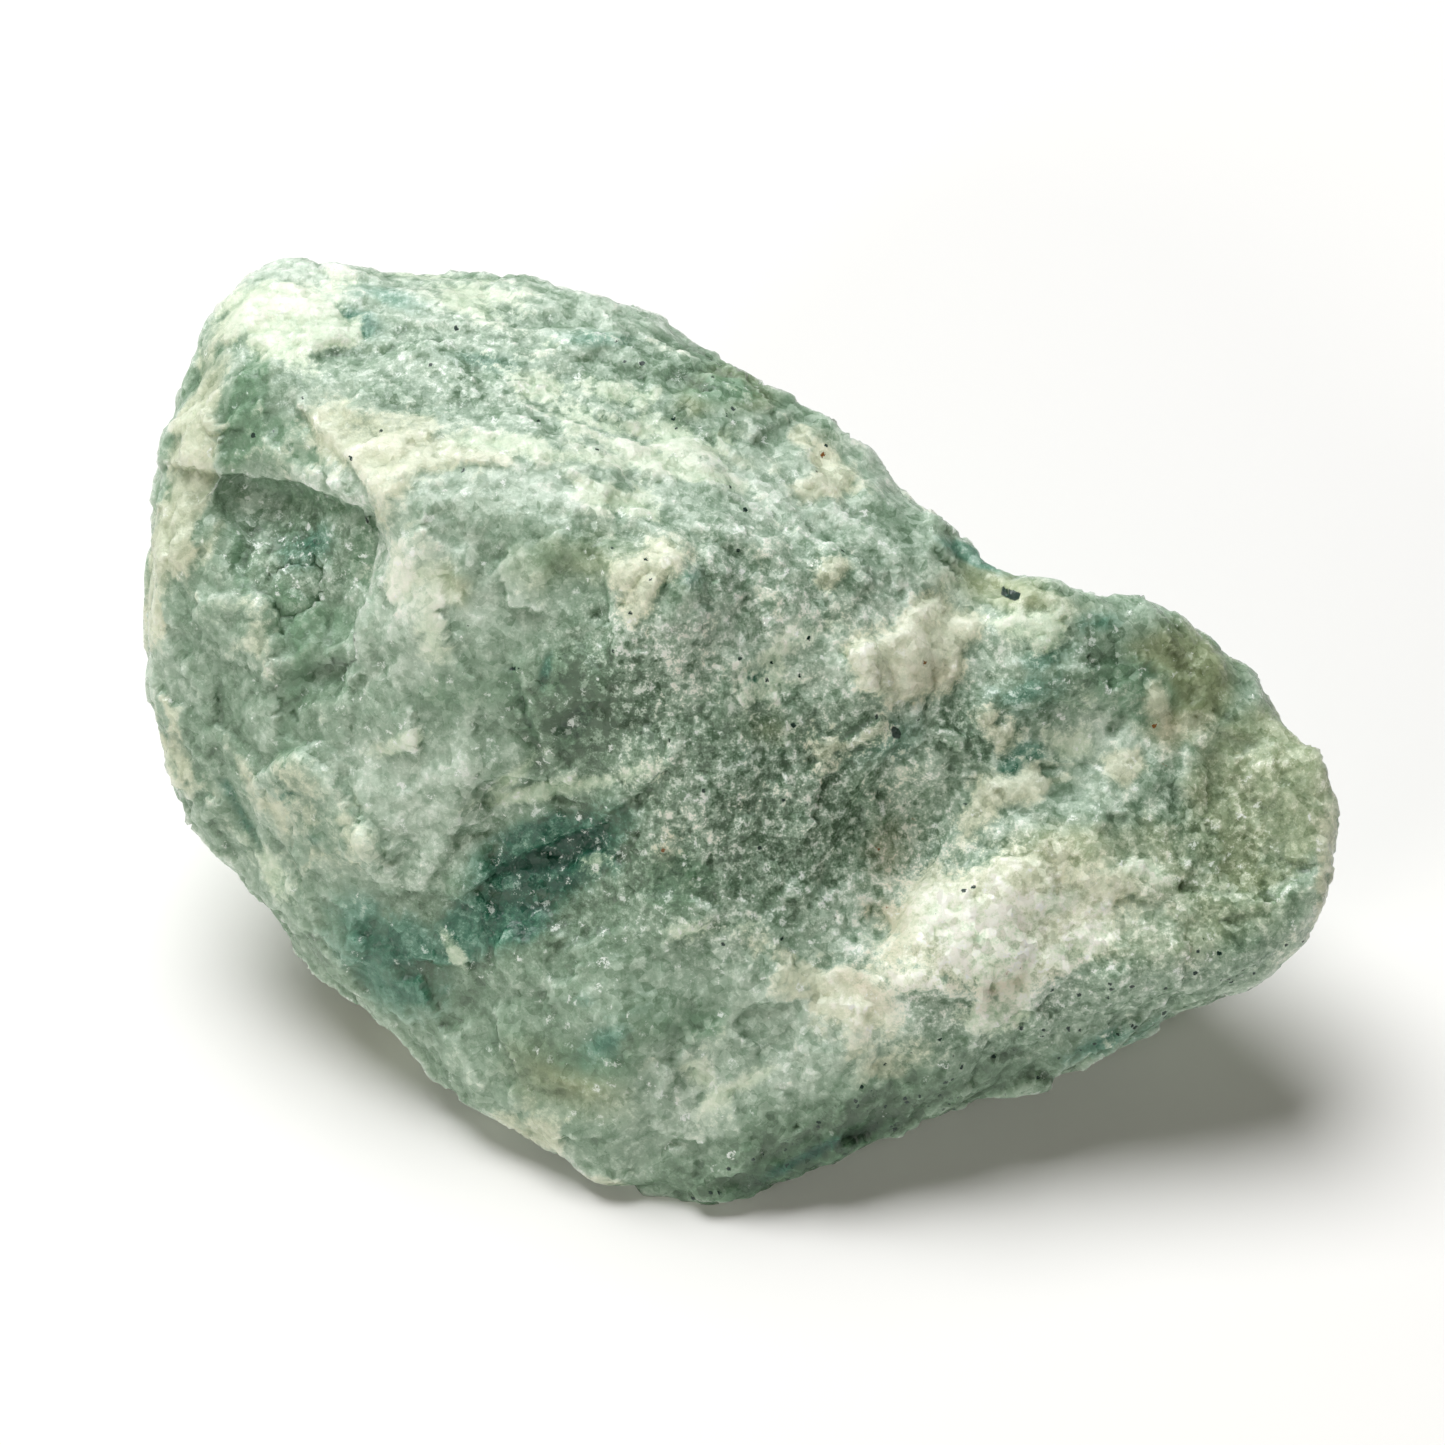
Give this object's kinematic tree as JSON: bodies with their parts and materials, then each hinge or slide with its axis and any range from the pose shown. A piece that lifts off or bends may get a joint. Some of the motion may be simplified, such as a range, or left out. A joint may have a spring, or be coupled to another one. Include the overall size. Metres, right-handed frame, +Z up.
{
  "type": "raw aquamarine stone",
  "caption": "Rough natural chunk of green-white translucent aquamarine with a thick blunt end and a narrow end, resting on a flat break.",
  "frame": {"origin": "middle of the bounding box, on the plane that the stone rests on", "axes": "+X along the length, from the blunt end to the narrow end; +Y away from the big front break; +Z up from the flat break that the stone rests on"},
  "size_m": [0.0686, 0.0452, 0.0369],
  "materials": {
    "aquamarine": "raw broken surface, waxy to glassy, cloudy and translucent at thin edges, mottled from milky white to deep teal"
  },
  "bodies": {
    "root": {"aquamarine_stone": "aquamarine"}
  },
  "joints": []
}
